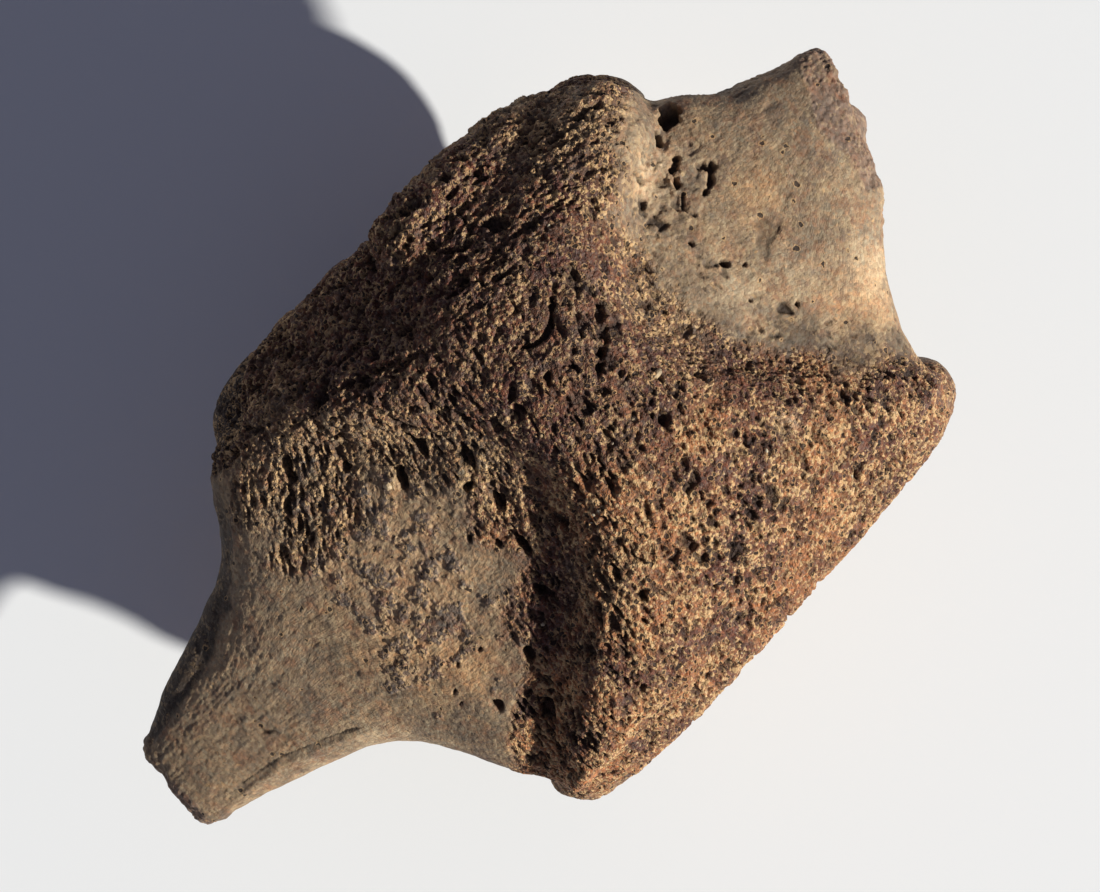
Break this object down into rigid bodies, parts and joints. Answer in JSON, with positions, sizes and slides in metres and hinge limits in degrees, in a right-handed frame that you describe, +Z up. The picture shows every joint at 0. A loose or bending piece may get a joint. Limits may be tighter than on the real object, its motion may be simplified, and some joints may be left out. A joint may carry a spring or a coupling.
{
  "type": "whale vertebra",
  "caption": "Old, worn backbone segment of a small whale: a waisted drum with a keel, ridged rims and side blades with broken tips, lying keel up as it would rest.",
  "frame": {"origin": "middle of the bone's length and width, at the level of the two broken feet that it rests on", "axes": "+X toward the animal's left, along the span of the side processes; +Y toward the end taken as the head end; +Z up, which is the bone's keeled belly side"},
  "size_m": [0.126, 0.0724, 0.068],
  "materials": {
    "spongy_bone": "matte, porous, dark red-brown",
    "blade_bone": "matte, finely grained, tan-brown",
    "arch_bone": "matte, rough broken bone"
  },
  "bodies": {
    "root": {"centrum": "spongy_bone", "transverse_process_left": "blade_bone", "transverse_process_right": "blade_bone", "neural_arch_foot_left": "arch_bone", "neural_arch_foot_right": "arch_bone"}
  },
  "joints": []
}
